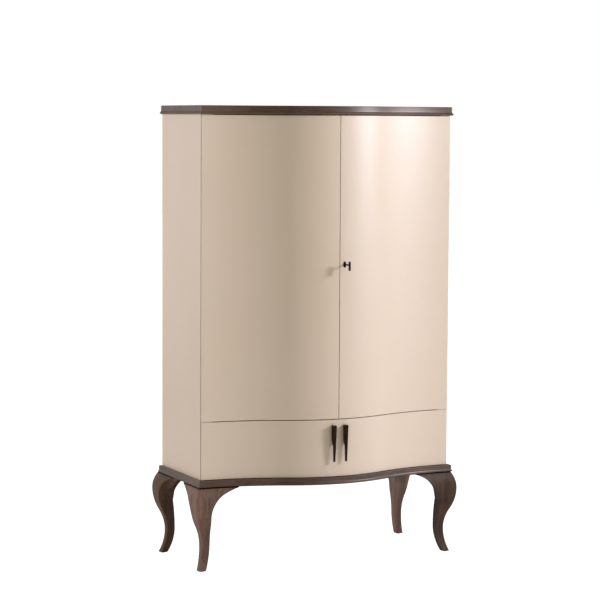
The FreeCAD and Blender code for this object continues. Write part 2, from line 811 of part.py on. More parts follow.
# Drawer front: one serpentine board across the whole width, with bevelled ends like the doors.
drawer_low = base_top + base_gap
front_points, front_arcs = serpentine(0, half)
rear_points, rear_arcs = serpentine(front_thick, half - front_thick + front_edge)
drawer_points = (
    front_points
    + [(half, front + front_edge)]
    + rear_points[:0:-1]
    + [(-half + front_thick - front_edge, front + front_thick), (-half, front + front_edge)]
)
drawer_arcs = dict(front_arcs)
drawer_arcs[8] = (flare_radius + front_thick, 1)
drawer_arcs[9] = (belly_radius - front_thick, -1)
drawer_arcs[10] = (flare_radius + front_thick, 1)
drawer_front_high = drawer_top - drawer_low
drawer_front_blank = board("drawer_front_blank", drawer_points, drawer_arcs, drawer_front_high, drawer_low)

# Drawer box: sides with a groove for the bottom, a back standing on the bottom, dowels into the front.
groove_deep = drive("groove_deep", 6)
groove_low = drive("groove_low", 6)
bottom_thick = drive("bottom_thick", 8)
drawer_dowel_radius = drive("drawer_dowel_radius", 3)
drawer_dowel_length = drive("drawer_dowel_length", 32)
drawer_dowel_in = drive("drawer_dowel_in", 12)
box_front = front + front_thick
box_back = box_front + drawer_box_depth
drawer_floor = box_low + groove_low
drawer_dowels = []
drawer_dowel_holes = []
for number in range(2):
    height = box_low + drawer_box_height * (0.3 + 0.45 * number)
    name = "drawer_dowel" + str(number)
    line = drawer_out - drawer_side_thick / 2
    start = box_front - drawer_dowel_in
    long = drawer_dowel_length
    one = rod(name, "+Y", line, start, height, drawer_dowel_radius, long)
    hole = rod(name + "_hole", "+Y", line, start - 1, height, drawer_dowel_radius + fit, long + 2)
    drawer_dowels += [one, mirrored(name + "_left", one, (1, 0, 0))]
    drawer_dowel_holes += [hole, mirrored(name + "_hole_left", hole, (1, 0, 0))]
node(group("drawer_dowels", drawer_dowels))
side_board = box("drawer_side_board", drawer_in, box_front, box_low, drawer_side_thick, drawer_box_depth,
                 drawer_box_height)
side_groove = box("drawer_groove", drawer_in - 1, box_front - 1, drawer_floor, groove_deep + 1,
                  drawer_box_depth + 2, bottom_thick)
right_dowel_holes = [drawer_dowel_holes[0], drawer_dowel_holes[2]]
drawer_side = cut("drawer_side_right", side_board, [side_groove] + right_dowel_holes)
node(drawer_side)
node(mirrored("drawer_side_left", drawer_side, (1, 0, 0)))
drawer_plan = shallow_serpentine(front_thick + slide_play, drawer_in + groove_deep, box_back)
node(board("drawer_bottom", *drawer_plan, bottom_thick, drawer_floor))
drawer_back_low = drawer_floor + bottom_thick
drawer_back_high = box_low + drawer_box_height - drawer_back_low
node(box("drawer_back", -drawer_in, box_back - drawer_side_thick, drawer_back_low, 2 * drawer_in,
         drawer_side_thick, drawer_back_high))

# Pull handles: a tapered bar, deep at the top where it is fixed, free of the drawer front below.
handle_x = drive("handle_x", 25)
handle_top_drop = drive("handle_top_drop", 20.5)
handle_length = drive("handle_length", 142)
handle_proud = drive("handle_proud", 22.5)
handle_wide = drive("handle_wide", 13)
handle_tip_wide = drive("handle_tip_wide", 7)
handle_tip_proud = drive("handle_tip_proud", 18)
handle_tip_deep = drive("handle_tip_deep", 7)
handle_seat = drive("handle_seat", 58)
handle_heel = drive("handle_heel", 22)
handle_heel_radius = drive("handle_heel_radius", 60)
handle_throat = drive("handle_throat", 9.7)
handle_let_in = drive("handle_let_in", 4)
handle_high = drawer_top - handle_top_drop
handle_bottom = handle_high - handle_length
face_y = front - belly_depth
heel_end = handle_high - handle_seat + handle_let_in * handle_heel / handle_throat
handle_side_points = [
    (face_y - handle_proud, handle_high),
    (face_y - handle_tip_proud, handle_bottom),
    (face_y - handle_tip_proud + handle_tip_deep, handle_bottom),
    (face_y - handle_throat, handle_high - handle_seat - handle_heel),
    (face_y + handle_let_in, heel_end),
    (face_y + handle_let_in, handle_high),
]
handle_face_points = [
    (handle_x - handle_wide / 2, handle_high),
    (handle_x - handle_tip_wide / 2, handle_bottom),
    (handle_x + handle_tip_wide / 2, handle_bottom),
    (handle_x + handle_wide / 2, handle_high),
]
handle_rough = common(
    "handle_rough",
    bar("handle_side", "YZ_Plane", handle_side_points, {3: (handle_heel_radius, 1)}, 200),
    bar("handle_face", "XZ_Plane", handle_face_points, {}, through_y + 200),
)
drawer_face = rod("drawer_face", "+Z", 0, belly_centre, drawer_low, belly_radius + seat_gap, drawer_zone)
handle_screw_radius = drive("handle_screw_radius", 2)
handle_screw_bite = drive("handle_screw_bite", 16)
handle_screws = []
handle_holes = []
for number, drop in enumerate((14, 40)):
    name = "handle_screw" + str(number)
    height = handle_high - drop
    seat = face_y + front_thick + 1.2
    long = front_thick + handle_screw_bite
    one = screw(name, "-Y", handle_x, seat, height, handle_screw_radius, long, 2 * handle_screw_radius, 2)
    hole = rod(name + "_hole", "-Y", handle_x, seat + 1, height, handle_screw_radius + fit, long + 1.5)
    handle_screws += [one, mirrored(name + "_left", one, (1, 0, 0))]
    handle_holes += [hole, mirrored(name + "_hole_left", hole, (1, 0, 0))]
node(group("handle_screws", handle_screws))
handle_right = node(cut("handle_right", handle_rough, [drawer_face, handle_holes[0], handle_holes[2]]))
node(mirrored("handle_left", handle_right, (1, 0, 0)))
node(cut("drawer_front", drawer_front_blank, drawer_dowel_holes + handle_holes))

# Doors: serpentine boards that cover the side panels, hung on pivots at the outer corners.
door_front_points, door_front_arcs = half_serpentine(0, half)
door_rear_points, door_rear_arcs = half_serpentine(front_thick, half - front_thick + front_edge)
door_points = door_front_points + [(half, front + front_edge)] + door_rear_points[::-1]
door_arcs = dict(door_front_arcs)
door_arcs[6] = (flare_radius + front_thick, 1)
door_arcs[7] = (belly_radius - front_thick, -1)
door_blank = board("door_blank", door_points, door_arcs, door_height, door_low)

# Hinge sockets: plates let into the top and bottom edges of the doors, bored for the pins.
socket_long = drive("socket_long", 42)
socket_wide = drive("socket_wide", 8)
socket_edge = drive("socket_edge", 0.4)
socket_near = front + pivot_back - socket_wide / 2
socket_points = [
    (half - socket_edge, socket_near),
    (half - socket_edge, front + front_edge - socket_edge),
    (half - socket_edge - socket_wide / 2, socket_near + socket_wide),
    (half - socket_long, socket_near + socket_wide),
    (half - socket_long, socket_near),
]
sockets = []
socket_screws = []
door_tools = []
for level, seat, away in (("low", door_low, "+Z"), ("high", door_top - socket_thick, "-Z")):
    name = "hinge_socket_" + level
    slab = board(name + "_slab", socket_points, {}, socket_thick, seat)
    bore_start = door_low - 1 if level == "low" else door_top + 1
    bore = rod(name + "_bore", away, pivot_x, pivot_y, bore_start, pin_radius + fit, socket_thick + 2)
    sink = rod(name + "_sink", away, pivot_x, pivot_y, bore_start, pin_radius + 0.25, pin_length + 2)
    tools = [bore]
    door_tools += [slab, sink]
    for number in range(2):
        place = half - pivot_side - 18 - 14 * number
        screw_name = name + "_screw" + str(number)
        start = seat if level == "low" else seat + socket_thick
        hole = rod(screw_name + "_hole", away, place, pivot_y, start, screw_radius + fit, 16)
        flush = rod(screw_name + "_flush", away, place, pivot_y, start, screw_head + fit, 1)
        tools += [hole, flush]
        door_tools.append(hole)
        shank = rod(screw_name + "_shank", away, place, pivot_y, start, screw_radius, 15.5)
        head = rod(screw_name + "_head", away, place, pivot_y, start, screw_head, 1)
        socket_screws.append(fuse(screw_name, [shank, head]))
    sockets.append(cut(name + "_right", slab, tools))
for socket in sockets:
    node(socket)
    node(mirrored(socket.Label.replace("right", "left"), socket, (1, 0, 0)))
socket_screws_left = [mirrored(one.Label + "_left", one, (1, 0, 0)) for one in socket_screws]

# Catch plates let flush into the backs of the doors.
catch_plate_thick = drive("catch_plate_thick", 1.5)
plate_front = plate_y + 0.2 - catch_plate_thick
plate_start = catch_x + pole_inset - 2
plate_long = pole_length + 4
plate_low = top_low - catch_high - 1
plate_high = catch_high - 3
catch_plate = box("catch_plate_right", plate_start, plate_front, plate_low, plate_long, catch_plate_thick,
                  plate_high)
catch_pocket = box("catch_pocket", plate_start, plate_front, plate_low, plate_long, 20, plate_high)
node(catch_plate)
node(mirrored("catch_plate_left", catch_plate, (1, 0, 0)))

# Lock in the right door: a case let into the back, a turning plug for the key, and a sliding bolt.
key_x = drive("key_x", 21)
key_rise = drive("key_rise", 598.4)
key_height = derive("key_height", door_low + key_rise)
lock_x = drive("lock_x", 3)
lock_wide = drive("lock_wide", 42)
lock_high = drive("lock_high", 60)
lock_sunk = drive("lock_sunk", 5)
lock_deep = drive("lock_deep", 15)
lock_wall = drive("lock_wall", 1.5)
plug_radius = drive("plug_radius", 4.5)
bolt_throw = drive("bolt_throw", 10)
crank = derive("crank", bolt_throw / root(as_size(2)))
crank_pin = drive("crank_pin", 1.5)
bolt_play = drive("bolt_play", 0.3)
bolt_thick = drive("bolt_thick", 3.5)
bolt_high = drive("bolt_high", 24)
case_front = derive("case_front", plate_y - lock_sunk)
case_back = derive("case_back", case_front + lock_deep)
lock_low = key_height - lock_high / 2 + 4
case_block = box("case_block", lock_x, case_front, lock_low, lock_wide, lock_deep - lock_wall, lock_high)
case_room = box("case_room", lock_x + lock_wall, case_front + lock_wall, lock_low + lock_wall,
                lock_wide - 2 * lock_wall, lock_deep, lock_high - 2 * lock_wall)
flange_start = case_front + lock_wall + 0.2
flange_thick = drive("flange_thick", 3)
bolt_front = flange_start + flange_thick + 0.8
bolt_low = key_height - 8
bolt_mouth = box("bolt_mouth", lock_x - 1, bolt_front - 0.2, bolt_low - 0.2, lock_wall + 2, bolt_thick + 0.4,
                 bolt_high + 0.4)
plug_bore = rod("plug_bore", "+Y", key_x, case_front - 40, key_height, plug_radius + fit, 40.1 + lock_wall)
lock_screw_places = [
    (lock_x + across, lock_low + rise)
    for rise in (6, lock_high - 6)
    for across in (7, lock_wide - 7)
]
lock_posts = []
lock_holes = []
lock_screws = []
for number, (x, z) in enumerate(lock_screw_places):
    name = "lock_screw" + str(number)
    lock_posts.append(rod(name + "_post", "+Y", x, case_front, z, 3.2, lock_deep - lock_wall))
    lock_holes.append(rod(name + "_hole", "-Y", x, case_back + 1, z, screw_radius + fit, lock_deep + 10.5))
    lock_screws.append(screw(name, "-Y", x, case_back, z, screw_radius, lock_deep + 9, screw_head, 1))
node(group("door_screws_right", socket_screws + lock_screws))
case_shell = cut("case_shell", case_block, [case_room, bolt_mouth])
node(cut("lock_case", fuse("case_with_posts", [case_shell] + lock_posts), lock_holes + [plug_bore]))
cover_plate = box("cover_plate", lock_x, case_back - lock_wall, lock_low, lock_wide, lock_wall, lock_high)
node(cut("lock_cover", cover_plate, lock_holes))

# Plug: round barrel with a flat keyway, a flange inside the case and a crank pin that drives the bolt.
plug_front = front - belly_depth + 1.2
keyway_high = drive("keyway_high", 6)
keyway_wide = drive("keyway_wide", 2)
keyway_deep = drive("keyway_deep", 18)
half_throw = bolt_throw / 2
barrel = rod("barrel", "+Y", key_x, plug_front, key_height, plug_radius, flange_start - plug_front)
flange = rod("flange", "+Y", key_x, flange_start, key_height, crank + crank_pin + 1, flange_thick)
drive_pin = rod("drive_pin", "+Y", key_x + half_throw, flange_start, key_height + half_throw, crank_pin,
                flange_thick + 0.8 + bolt_thick)
keyway = box("keyway", key_x - keyway_wide / 2 - fit, plug_front - 1, key_height - keyway_high / 2 - fit,
             keyway_wide + 2 * fit, keyway_deep + 1, keyway_high + 2 * fit)
node(cut("lock_plug", fuse("plug_solid", [barrel, flange, drive_pin]), [keyway]))

# Bolt: a plate with an upright slot for the crank pin; the tip leaves the case towards the left door.
bolt_tip = lock_x + 0.2
bolt_end = key_x + half_throw + crank_pin + bolt_play + 3.5
bolt_plate = box("bolt_plate", bolt_tip, bolt_front, bolt_low, bolt_end - bolt_tip, bolt_thick, bolt_high)
slot_wide = 2 * crank_pin + 2 * bolt_play
slot_low = key_height + half_throw - crank_pin - 0.4
slot_high = crank - half_throw + 2 * crank_pin + 0.8
bolt_slot = box("bolt_slot", key_x + half_throw - slot_wide / 2, bolt_front - 1, slot_low, slot_wide,
                bolt_thick + 2, slot_high)
node(cut("lock_bolt", bolt_plate, [bolt_slot]))

# Strike on the left door: a small hood that the bolt slides into.
strike_wide = drive("strike_wide", 18)
strike_start = -centre_gap / 2 - 1 - strike_wide
strike_front = plate_y + 0.6
strike_block = box("strike_block", strike_start, strike_front, bolt_low - 12, strike_wide,
                   case_back - strike_front, bolt_high + 24)
strike_room = box("strike_room", strike_start + 7, bolt_front - 0.4, bolt_low - 0.6, strike_wide,
                  bolt_thick + 0.8, bolt_high + 1.2)
strike_bite = case_back - plate_y + 10
strike_screws = []
strike_holes = []
for number, z in enumerate((bolt_low - 6, bolt_low + bolt_high + 6)):
    name = "strike_screw" + str(number)
    place = strike_start + strike_wide / 2
    one = screw(name, "-Y", place, case_back, z, screw_radius, strike_bite, screw_head, 1)
    hole = rod(name + "_hole", "-Y", place, case_back + 1, z, screw_radius + fit, strike_bite + 2)
    strike_screws.append(one)
    strike_holes.append(hole)
node(group("door_screws_left", socket_screws_left + strike_screws))
node(cut("lock_strike", strike_block, [strike_room] + strike_holes))

# Escutcheon: an oval plate let into the front of the door around the keyhole.
oval_high = drive("oval_high", 24)
oval_wide = drive("oval_wide", 12)
oval_back = front - belly_depth + 1
oval_front = front - belly_depth - 1.6


def oval(label, grow, start, depth):
    item = doc.addObject("Part::Ellipse", label + "_rim")
    bind(item, "MajorRadius", oval_high / 2 + grow)
    bind(item, "MinorRadius", oval_wide / 2 + grow)
    item.Placement = FreeCAD.Placement(FreeCAD.Vector(), FreeCAD.Rotation(FreeCAD.Vector(1, 1, 1), 240))
    move(item, key_x, start, key_height)
    solid = doc.addObject("Part::Extrusion", label)
    solid.Base = item
    solid.DirMode = "Custom"
    solid.Dir = FreeCAD.Vector(0, 1, 0)
    bind(solid, "LengthFwd", depth)
    solid.Solid = True
    return solid


oval_plate = oval("oval_plate", 0, oval_front, oval_back - oval_front)
oval_seat = oval("oval_seat", 0.2, oval_front - 5, oval_back - oval_front + 5)
oval_bore = rod("oval_bore", "+Y", key_x, oval_front - 1, key_height, plug_radius - 1, 10)
node(cut("escutcheon", oval_plate, [oval_bore]))

# Key: a flat blade in the plug, a round shank with a collar, and an upright bow.
shank_radius = drive("shank_radius", 2.8)
bow_deep = drive("bow_deep", 14)
bow_high = drive("bow_high", 36)
bow_thick = drive("bow_thick", 4)
bow_rise = drive("bow_rise", 14)
bow_front = front - belly_depth - bow_proud
shank_start = bow_front + bow_deep - 2
blade = box("blade", key_x - keyway_wide / 2, oval_front - 4, key_height - keyway_high / 2, keyway_wide,
            plug_front + keyway_deep - 1 - oval_front + 4, keyway_high)
shank = rod("shank", "+Y", key_x, shank_start, key_height, shank_radius, oval_front - 0.4 - shank_start)
key_collar = rod("key_collar", "+Y", key_x, oval_front - 5, key_height, shank_radius + 1.3, 3)
bow_low = key_height + bow_rise - bow_high
bow_plate = box("bow_plate", key_x - bow_thick / 2, bow_front, bow_low, bow_thick, bow_deep, bow_high)
node(fuse("key", [blade, shank, key_collar, bow_plate]))

# Finished doors: both carry hinge sockets and a catch plate; the right one the lock, the left one the strike.
lock_pocket = box("lock_pocket", lock_x, case_front, lock_low, lock_wide, 40, lock_high)
door_bore = rod("door_bore", "+Y", key_x, face_y - 5, key_height, plug_radius + 0.4, front_thick + 5)
door_common = door_tools + [catch_pocket]
node(cut("door_right", door_blank, door_common + [lock_pocket, door_bore, oval_seat] + lock_holes))
door_half = cut("door_left_blank", door_blank, door_common)
node(cut("door_left", mirrored("door_left_shape", door_half, (1, 0, 0)), strike_holes))

doc.recompute()

os.makedirs("parts", exist_ok=True)
for item in doc.Objects:
    if "Invalid" in item.State or "Error" in item.State:
        raise RuntimeError(item.Label + " could not be built: " + str(item.State))
for item in nodes:
    shape = item.Shape
    if shape.isNull() or not shape.isValid() or shape.Volume <= 0:
        raise RuntimeError(item.Label + " has no valid solid")
    shape.exportStep("parts/" + item.Label + ".step")
    print(item.Label, len(shape.Solids), round(shape.Volume))
print(len(nodes), "nodes")
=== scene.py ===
import math

import bmesh
import bpy
from mathutils import Matrix, Vector


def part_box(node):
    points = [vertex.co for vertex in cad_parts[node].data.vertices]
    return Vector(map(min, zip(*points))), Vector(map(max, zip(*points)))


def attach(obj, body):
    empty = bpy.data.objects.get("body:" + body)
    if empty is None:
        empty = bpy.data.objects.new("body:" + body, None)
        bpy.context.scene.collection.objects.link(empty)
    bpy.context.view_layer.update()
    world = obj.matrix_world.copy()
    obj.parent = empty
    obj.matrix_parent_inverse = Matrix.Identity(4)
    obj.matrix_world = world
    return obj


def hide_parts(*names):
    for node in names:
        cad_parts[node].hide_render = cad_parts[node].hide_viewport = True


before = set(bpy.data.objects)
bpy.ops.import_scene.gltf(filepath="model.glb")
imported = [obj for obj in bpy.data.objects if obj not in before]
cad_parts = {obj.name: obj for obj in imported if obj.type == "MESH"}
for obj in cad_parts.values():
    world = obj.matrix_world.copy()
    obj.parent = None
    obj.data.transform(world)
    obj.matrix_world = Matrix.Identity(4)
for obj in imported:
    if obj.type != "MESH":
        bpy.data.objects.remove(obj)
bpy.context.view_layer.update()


# Base frame: four mitred rails of solid walnut under the carcass, moulded along the front and the sides.
# The wood is stained a dark taupe brown and varnished to a satin sheen, so the grain only just shows.
# A dark dull line of painted shade runs where the rails sit on the legs.
def wire(finish, kind, sockets, **settings):
    """Adds one node to a finish, or to the room; a socket takes a value or another node's output."""
    node = finish.node_tree.nodes.new(kind)
    for name, value in settings.items():
        setattr(node, name, value)
    for socket, value in sockets.items():
        if isinstance(value, bpy.types.NodeSocket):
            finish.node_tree.links.new(value, node.inputs[socket])
        else:
            node.inputs[socket].default_value = value
    return node


def new_finish(name, **sockets):
    """A material with its shader set, and the piece's own coordinates in metres."""
    finish = bpy.data.materials.new(name)
    finish.use_nodes = True
    shader = finish.node_tree.nodes["Principled BSDF"]
    for socket, value in sockets.items():
        shader.inputs[socket.replace("_", " ")].default_value = value
    place = wire(finish, "ShaderNodeTexCoord", {}).outputs["Object"]
    return finish, shader, place


def noise(finish, place, scale, detail=3.0, roughness=0.55, distortion=0.0):
    made = wire(finish, "ShaderNodeTexNoise", {
        "Vector": place, "Scale": scale, "Detail": detail, "Roughness": roughness, "Distortion": distortion,
    })
    return made.outputs["Fac"]


def stretched(finish, place, scale):
    return wire(finish, "ShaderNodeMapping", {"Vector": place, "Scale": scale}).outputs["Vector"]


def ramp(finish, level, *stops):
    """Colours along a level: each stop is (position, (red, green, blue))."""
    made = wire(finish, "ShaderNodeValToRGB", {"Fac": level})
    elements = made.color_ramp.elements
    while len(elements) < len(stops):
        elements.new(0.5)
    for element, (position, colour) in zip(elements, stops):
        element.position = position
        element.color = (*colour, 1)
    return made.outputs["Color"]


def spread(finish, level, low, high):
    """A level from 0 to 1 brought into the range low to high."""
    made = wire(finish, "ShaderNodeMapRange", {"Value": level, "To Min": low, "To Max": high})
    return made.outputs["Result"]


def blended(finish, amount, first, second, how="MIX"):
    made = wire(finish, "ShaderNodeMix", {0: amount, 6: first, 7: second}, data_type="RGBA", blend_type=how)
    return made.outputs[2]


def times(finish, first, second):
    return wire(finish, "ShaderNodeMath", {0: first, 1: second}, operation="MULTIPLY").outputs[0]


def connect(finish, output, shader, socket):
    finish.node_tree.links.new(output, shader.inputs[socket])


def raised(finish, shader, height, strength, depth):
    bump = wire(finish, "ShaderNodeBump", {"Height": height, "Strength": strength, "Distance": depth})
    connect(finish, bump.outputs["Normal"], shader, "Normal")


def eased_edge_mask(finish):
    """1 on the eased edges of a piece, 0 elsewhere."""
    return wire(finish, "ShaderNodeAttribute", {}, attribute_name="eased_edge").outputs["Fac"]


MM = 0.001
GRAIN_ALONG = {"x": (0.05, 1, 1), "y": (1, 0.05, 1), "z": (1, 1, 0.05)}
STREAK_DARK = (0.62, 0.60, 0.58)
STREAK_LIGHT = (1.08, 1.08, 1.08)
STREAK_SHARE = 0.75
PORE_DARK = (0.45, 0.42, 0.40)
PORE_CLEAR = (1, 1, 1)
PORE_SHARE = 0.6
CLEAR_VARNISH = (1, 1, 1)


def wood(name, grain, dark, middle, light, edge, rough, gloss=0.45, varnish=CLEAR_VARNISH):
    """Straight-grained wood: slow figure, fine streaks and short pores, all drawn out along the grain."""
    finish, shader, place = new_finish(name, Specular_IOR_Level=gloss, Specular_Tint=(*varnish, 1))
    fibre = stretched(finish, place, GRAIN_ALONG[grain])
    figure = noise(finish, fibre, scale=24, detail=4, roughness=0.6, distortion=0.9)
    streaks = noise(finish, fibre, scale=170, detail=5, roughness=0.65, distortion=0.2)
    pores = noise(finish, fibre, scale=900, detail=2, roughness=0.5)
    tone = ramp(finish, figure, (0.30, dark), (0.50, middle), (0.72, light))
    streaked = ramp(finish, streaks, (0.35, STREAK_DARK), (0.62, STREAK_LIGHT))
    tone = blended(finish, STREAK_SHARE, tone, streaked, "MULTIPLY")
    pitted = ramp(finish, pores, (0.34, PORE_DARK), (0.46, PORE_CLEAR))
    tone = blended(finish, PORE_SHARE, tone, pitted, "MULTIPLY")
    # eased edges take the paler edge tone in patches: partly wear, partly a painted highlight along the
    # arrises
    patches = spread(finish, noise(finish, place, scale=60), low=0.15, high=0.75)
    wear_and_highlight = times(finish, eased_edge_mask(finish), patches)
    tone = blended(finish, wear_and_highlight, tone, (*edge, 1))
    connect(finish, tone, shader, "Base Color")
    connect(finish, spread(finish, streaks, low=rough - 0.06, high=rough + 0.10), shader, "Roughness")
    raised(finish, shader, pores, strength=0.18, depth=0.4 * MM)
    return finish


BASE_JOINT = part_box("base_rail_front")[0][2]
LINE_HALF = 3.0 * MM
LINE_FADE = 1.2 * MM
LINE_GLOSS = 0.05


def painted_joint_shade(finish, shade_colour, gloss):
    """A dark dull line of painted shade along the joint of base frame and legs."""
    shader = finish.node_tree.nodes["Principled BSDF"]
    place = wire(finish, "ShaderNodeTexCoord", {}).outputs["Object"]
    height = wire(finish, "ShaderNodeSeparateXYZ", {"Vector": place}).outputs["Z"]
    above = wire(finish, "ShaderNodeMath", {0: height, 1: BASE_JOINT}, operation="SUBTRACT").outputs[0]
    away = wire(finish, "ShaderNodeMath", {0: above}, operation="ABSOLUTE").outputs[0]
    line = {"Value": away, "From Min": LINE_HALF, "From Max": LINE_HALF + LINE_FADE}
    clear = wire(finish, "ShaderNodeMapRange", line).outputs["Result"]
    tone = shader.inputs["Base Color"].links[0].from_socket
    connect(finish, blended(finish, clear, (*shade_colour, 1), tone), shader, "Base Color")
    connect(finish, spread(finish, clear, low=LINE_GLOSS, high=gloss), shader, "Specular IOR Level")


# dark, middle and light of the figure, and the paler tone of the eased edges, partly wear and partly painted
# highlight
WALNUT = (
    (0.050, 0.0262, 0.0162),
    (0.083, 0.0452, 0.0288),
    (0.120, 0.0685, 0.0450),
    (0.165, 0.1010, 0.0710),
)
AMBER_VARNISH = (1.0, 0.91, 0.84)
# how dark the painted shade line at the joint is, as a share of the dark figure tone
JOINT_SHADE_DEPTH = 0.15


def walnut(name, grain, tone=1.0, rough=0.36, gloss=0.5, varnish=AMBER_VARNISH):
    """Stained and varnished walnut with a painted shade line at the joint; tone lightens or darkens a piece
    as painted light and shade.
    """
    tones = [tuple(tone * channel for channel in colour) for colour in WALNUT]
    finish = wood(name, grain, *tones, rough, gloss, varnish)
    # painted shade: the walnut goes dark and loses its gloss in a line at the joint of rails and legs
    painted_joint_shade(finish, tuple(JOINT_SHADE_DEPTH * channel for channel in tones[0]), gloss)
    return finish


walnut_along = {grain: walnut("walnut_along_" + grain, grain) for grain in "xy"}
WELD = 1e-6
FLAT_WITHIN = math.radians(0.3)
CREASE = math.radians(32)
SHORTEST_ARRIS = 1.5 * MM


def eased(node, body, finish, width, sharp_above=28):
    """The piece itself with its long sharp edges eased, as sanding leaves them.

    Edges sharper than sharp_above degrees are eased; the short rims of bores stay sharp.
    """
    form = bmesh.new()
    form.from_mesh(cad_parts[node].data)
    bmesh.ops.remove_doubles(form, verts=form.verts, dist=WELD)
    bmesh.ops.dissolve_limit(form, angle_limit=FLAT_WITHIN, verts=form.verts, edges=form.edges)
    strip = form.faces.layers.float.new("eased_edge")
    arrises = [
        edge for edge in form.edges
        if edge.is_manifold
        and edge.calc_face_angle() > math.radians(sharp_above)
        and edge.calc_length() > SHORTEST_ARRIS
    ]
    made = bmesh.ops.bevel(
        form, geom=arrises, offset=width, offset_type="OFFSET", segments=2, profile=0.5,
        affect="EDGES", clamp_overlap=True, loop_slide=True,
    )
    for face in made["faces"]:
        face[strip] = 1
    for face in form.faces:
        face.smooth = True
    for edge in form.edges:
        edge.smooth = not edge.is_manifold or edge.calc_face_angle() < CREASE
    mesh = bpy.data.meshes.new(node + "_finished")
    form.to_mesh(mesh)
    form.free()
    piece = bpy.data.objects.new(node + "_finished", mesh)
    bpy.context.scene.collection.objects.link(piece)
    piece.modifiers.new("flat_faces", "WEIGHTED_NORMAL").keep_sharp = True
    mesh.materials.append(finish)
    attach(piece, body)
    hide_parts(node)


for rail, grain in (("front", "x"), ("left", "y"), ("right", "y"), ("back", "x")):
    eased("base_rail_" + rail, "carcass", walnut_along[grain], width=0.7 * MM)

# Legs: cabriole legs sawn from walnut blanks on two faces, with ears that run along the rails.
# Each is held up into the mitre of the rails by one bolt and nut, and stands on a thin plastic glide.
# Each leg's walnut is set lighter or darker and more or less glossy, as painted light and shade for that
# leg.
# painted light and shade: each leg's tone and gloss, set to how brightly that leg is lit
LEG_LIGHT_AND_SHADE = {
    "front_left": {"tone": 1.9, "gloss": 0.32},
    "front_right": {"tone": 0.74, "gloss": 0.12},
    "back_left": {"tone": 1.15, "gloss": 0.12},
    "back_right": {"tone": 1.55, "gloss": 0.32},
}
for corner, looks in LEG_LIGHT_AND_SHADE.items():
    shaded_leg_walnut = walnut("walnut_leg_" + corner, "z", rough=0.45, varnish=CLEAR_VARNISH, **looks)
    eased("leg_" + corner, "carcass", shaded_leg_walnut, width=1.6 * MM)

DRAWN_ALONG = (1, 1, 0.06)


def metal(name, colour, blotch, rough):
    """Metal with fine drawn scratches and clouds; blotch is the share of the colour in the dull clouds."""
    finish, shader, place = new_finish(name, Metallic=1.0)
    clouds = noise(finish, place, scale=90, detail=4)
    drawn = noise(finish, stretched(finish, place, DRAWN_ALONG), scale=2600, detail=2)
    dull = tuple(channel * blotch for channel in colour)
    tone = ramp(finish, clouds, (0.35, dull), (0.65, colour))
    connect(finish, tone, shader, "Base Color")
    connect(finish, spread(finish, clouds, low=rough + 0.08, high=rough - 0.08), shader, "Roughness")
    raised(finish, shader, drawn, strength=0.10, depth=0.1 * MM)
    return finish


def moulded_plastic(name, colour, lift=1.5):
    """Dark moulded plastic with a fine spark-eroded grain; lift is how much paler its high spots are."""
    finish, shader, place = new_finish(name)
    grain = noise(finish, place, scale=1800)
    paler = tuple(channel * lift for channel in colour)
    connect(finish, ramp(finish, grain, (0.35, colour), (0.7, paler)), shader, "Base Color")
    connect(finish, spread(finish, grain, low=0.45, high=0.65), shader, "Roughness")
    raised(finish, shader, grain, strength=0.25, depth=0.1 * MM)
    return finish


def dress(node, finish):
    """A CAD piece that keeps its own shape and takes a finish."""
    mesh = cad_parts[node].data
    mesh.materials.clear()
    mesh.materials.append(finish)


ZINC = (0.56, 0.56, 0.54)
SOOT = (0.016, 0.014, 0.013)
steel = metal("plated_steel", ZINC, blotch=0.82, rough=0.34)
dark_plastic = moulded_plastic("dark_plastic_grain", SOOT)
dress("leg_bolts", steel)
dress("leg_nuts", steel)
dress("floor_glides", dark_plastic)

# Carcass: two side panels with the bottom, the divider and the back between them, all lacquered cream.
# Beech dowels join the sides to the base and the top board. The lacquer is sprayed, satin outside and matt
# inside, with the faint ripple that a spray gun leaves.
CLOUD_SHIFT = (0.975, 0.97, 0.96)
EDGE_HIGHLIGHT_LIFT = 1.06
EDGE_HIGHLIGHT_SHARE = 0.6


def lacquer(name, colour, rough, gloss):
    """Sprayed lacquer: faint clouds in its tone, a fine ripple, and a painted highlight that makes the edges
    a little paler than the faces.
    """
    finish, shader, place = new_finish(name, Specular_IOR_Level=gloss)
    clouds = noise(finish, place, scale=2.5)
    ripple = noise(finish, place, scale=520, detail=2, roughness=0.4)
    patches = noise(finish, place, scale=14)
    deeper = tuple(channel * shift for channel, shift in zip(colour, CLOUD_SHIFT))
    tone = ramp(finish, clouds, (0.3, deeper), (0.7, colour))
    paler = tuple(channel * EDGE_HIGHLIGHT_LIFT for channel in colour)
    # painted highlight: the eased edges are lifted paler than the faces
    tone = blended(finish, times(finish, eased_edge_mask(finish), EDGE_HIGHLIGHT_SHARE), tone, (*paler, 1))
    connect(finish, tone, shader, "Base Color")
    connect(finish, spread(finish, patches, low=rough - 0.03, high=rough + 0.04), shader, "Roughness")
    raised(finish, shader, ripple, strength=0.06, depth=0.2 * MM)
    return finish


CREAM = (0.615, 0.49, 0.372)
cream_lacquer = lacquer("cream_lacquer_satin", CREAM, rough=0.39, gloss=0.88)
inner_lacquer = lacquer("cream_lacquer_matt", CREAM, rough=0.55, gloss=0.5)
for side in ("left", "right"):
    eased("side_panel_" + side, "carcass", cream_lacquer, width=0.8 * MM)
for panel in ("bottom_panel", "divider_panel", "back_panel"):
    eased(panel, "carcass", inner_lacquer, width=0.6 * MM)
# dark, middle and light of the figure, and the paler tone of the eased edges, partly wear and partly painted
# highlight
BEECH = (
    (0.46, 0.30, 0.17),
    (0.56, 0.39, 0.235),
    (0.64, 0.47, 0.30),
    (0.66, 0.50, 0.34),
)
beech_along = {grain: wood("beech_along_" + grain, grain, *BEECH, rough=0.48) for grain in "xyz"}
dress("carcass_dowels", beech_along["z"])


